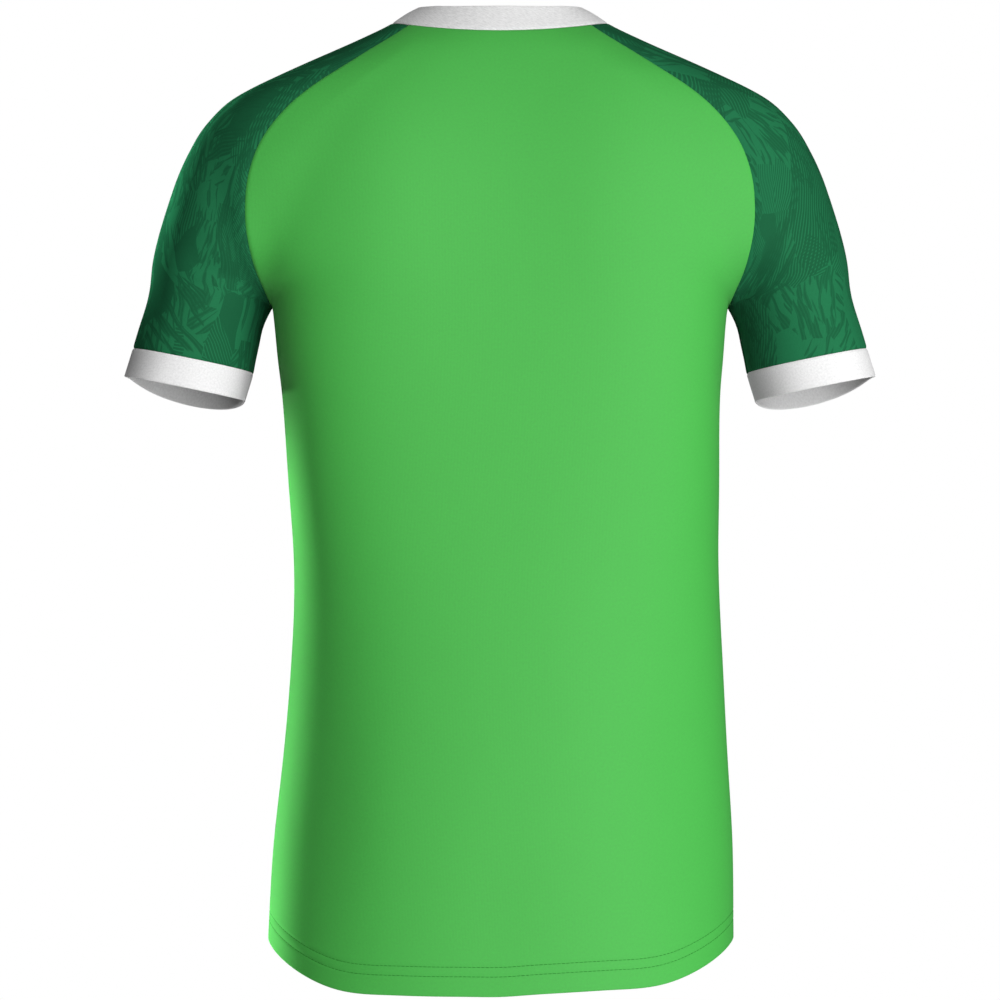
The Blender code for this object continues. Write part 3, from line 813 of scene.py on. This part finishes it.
def makeBand(name, node, upwards, columns, material):
    coarse = bandGrid(node, upwards)
    across = ([], [], columns)
    down = (scaledList(bands["seamFine"]), scaledList(bands["edgeFine"]), bands["rows"])
    grid = fineGrid(coarse, across, down, True)
    normals = gridNormals(grid, True)
    places = clothPlaces(grid, 0)
    top = edgeDistances(grid)[2]
    grid = grid - normals * seamRoll(top, *bands["roll"])[..., None]
    depth = lengthsAlong(grid[:, 0])[-1]
    if node == "collar":
        begins, full = scaledList(bands["curlFrom"])
        aside = np.clip((np.abs(grid[..., 0]) - begins) / (full - begins), 0, 1)
        curl = bands["collarCurl"] * millimetre * aside * (top / top[-1]) ** bands["curlPower"]
        grid = grid - normals * curl[..., None]
        grid[..., 2] += bands["collarRise"] * millimetre * top / top[-1]
    grid = sewnEdges(grid, False, False)
    grid, added = foldedUnder(grid, normals, depth * bands["turnShare"], bands["radius"] * millimetre)
    piece = clothMesh(name, grid, turnedPlaces(places, added, depth), True, bands["wall"], material)
    return finishPiece(piece, node)


leftCuff = makeBand("leftCuffBand", "cuff_left", False, bands["cuffColumns"], cuffCloth)
rightCuff = makeBand("rightCuffBand", "cuff_right", False, bands["cuffColumns"], cuffCloth)
collarBand = makeBand("collarBand", "collar", True, bands["collarColumns"], collarCloth)
print("cuffs and collar made")


# The studio, in metres. White is what the camera sees round the jersey, fill the light from there, and
# paper how light the floor is to the jersey.
studio = {
    "floorHeight": -3.0, "floorSize": 40.0, "white": 1.0, "fill": 0.15, "paper": 0.45,
    "middle": (0, 0, -0.37), "cameraDistance": 2.275, "cameraHeight": -0.3705,
    "lens": 105.0, "sensor": 36.0,  # millimetres
}
# Soft lights round the jersey. Right and up are degrees from the camera's own direction, distance is from
# the middle, aside and raised move a lamp on from there, spread is how wide its light goes in degrees, and
# inGloss says whether the cloth's gloss shows it. What a lamp doesn't say is as in plainLamp.
plainLamp = {"up": 0, "distance": 3.0, "aside": 0, "raised": 0, "spread": 180, "inGloss": False}
lamps = {
    "keyLight": {"right": 17, "up": 2, "size": (1.4, 1.8), "watts": 46, "inGloss": True},
    "highLight": {"right": 31, "up": 31, "distance": 3.5, "size": (1.4, 1.4), "watts": 37, "inGloss": True},
    "lowLight": {"right": 45, "up": -34, "distance": 3.2, "size": (1.2, 1.2), "watts": 28, "inGloss": True},
    "sideLight": {"right": 100, "size": (1.2, 1.6), "watts": 9},
    "rimLight": {"right": -135, "distance": 0.6, "aside": 0.275, "raised": -0.20, "size": (0.3, 0.5),
                 "watts": 0.15, "spread": 17, "inGloss": True},
    "rimFill": {"right": -135, "distance": 0.6, "aside": 0.275, "raised": -0.20, "size": (0.3, 0.5),
                "watts": 1.65, "spread": 17},
    "sleeveRim": {"right": -135, "distance": 1.5, "aside": 0.275, "raised": 0.32, "size": (0.3, 0.3),
                  "watts": 0.95, "spread": 7},
    "frontLight": {"right": 180, "up": 10, "size": (1.6, 1.8), "watts": 60},
}


def wayTo(right, up):  # from the jersey's middle, in degrees to the camera's right and up
    right, up = math.radians(right), math.radians(up)
    return Vector((-math.sin(right) * math.cos(up), math.cos(right) * math.cos(up), math.sin(up)))


def makeStudio():
    scene = bpy.context.scene
    scene.view_settings.view_transform = "Standard"
    bpy.ops.mesh.primitive_plane_add(size=studio["floorSize"], location=(0, 0, studio["floorHeight"]))
    floor = bpy.context.object
    floor.name = "studioFloor"
    paper = bpy.data.materials.new("studioPaper")
    paper.use_nodes = True
    tree = paper.node_tree
    shader = tree.nodes["Principled BSDF"]
    shader.inputs["Base Color"].default_value = (studio["paper"], studio["paper"], studio["paper"], 1)
    glow = addNode(tree, "ShaderNodeEmission", Strength=studio["white"])
    rays = addNode(tree, "ShaderNodeLightPath")
    blend = addNode(tree, "ShaderNodeMixShader")
    tree.links.new(rays.outputs["Is Camera Ray"], blend.inputs[0])
    tree.links.new(shader.outputs[0], blend.inputs[1])
    tree.links.new(glow.outputs[0], blend.inputs[2])
    tree.links.new(blend.outputs[0], tree.nodes["Material Output"].inputs["Surface"])
    floor.data.materials.append(paper)

    world = bpy.data.worlds.new("studioWorld")
    scene.world = world
    world.cycles_visibility.glossy = False  # the cloth's gloss comes from the lamps alone
    world.use_nodes = True
    tree = world.node_tree
    rays = addNode(tree, "ShaderNodeLightPath")
    strength = mathNode(tree, "MULTIPLY_ADD", rays.outputs["Is Camera Ray"],
                        studio["white"] - studio["fill"], studio["fill"])
    background = tree.nodes["Background"]
    background.inputs["Color"].default_value = (1, 1, 1, 1)
    tree.links.new(strength, background.inputs["Strength"])

    middle = Vector(studio["middle"])
    for name, own in lamps.items():
        given = {**plainLamp, **own}
        way = wayTo(given["right"], given["up"])
        sideways = Vector((-way.y, way.x, 0)).normalized()
        light = bpy.data.lights.new(name, "AREA")
        light.shape = "RECTANGLE"
        light.size, light.size_y = given["size"]
        light.energy = given["watts"]
        light.spread = math.radians(given["spread"])
        lamp = bpy.data.objects.new(name, light)
        scene.collection.objects.link(lamp)
        lamp.location = middle + way * given["distance"] + sideways * given["aside"]
        lamp.location += Vector((0, 0, given["raised"]))
        lamp.rotation_euler = (-way).to_track_quat("-Z", "Y").to_euler()
        lamp.visible_camera = False
        lamp.visible_glossy = given["inGloss"]

    view = bpy.data.cameras.new("productCamera")
    view.lens = studio["lens"]
    view.sensor_width = studio["sensor"]
    camera = bpy.data.objects.new("productCamera", view)
    scene.collection.objects.link(camera)
    camera.location = (0, studio["cameraDistance"], studio["cameraHeight"])
    camera.rotation_euler = (math.radians(90), 0, math.radians(180))
    scene.camera = camera


makeStudio()
print("studio set")
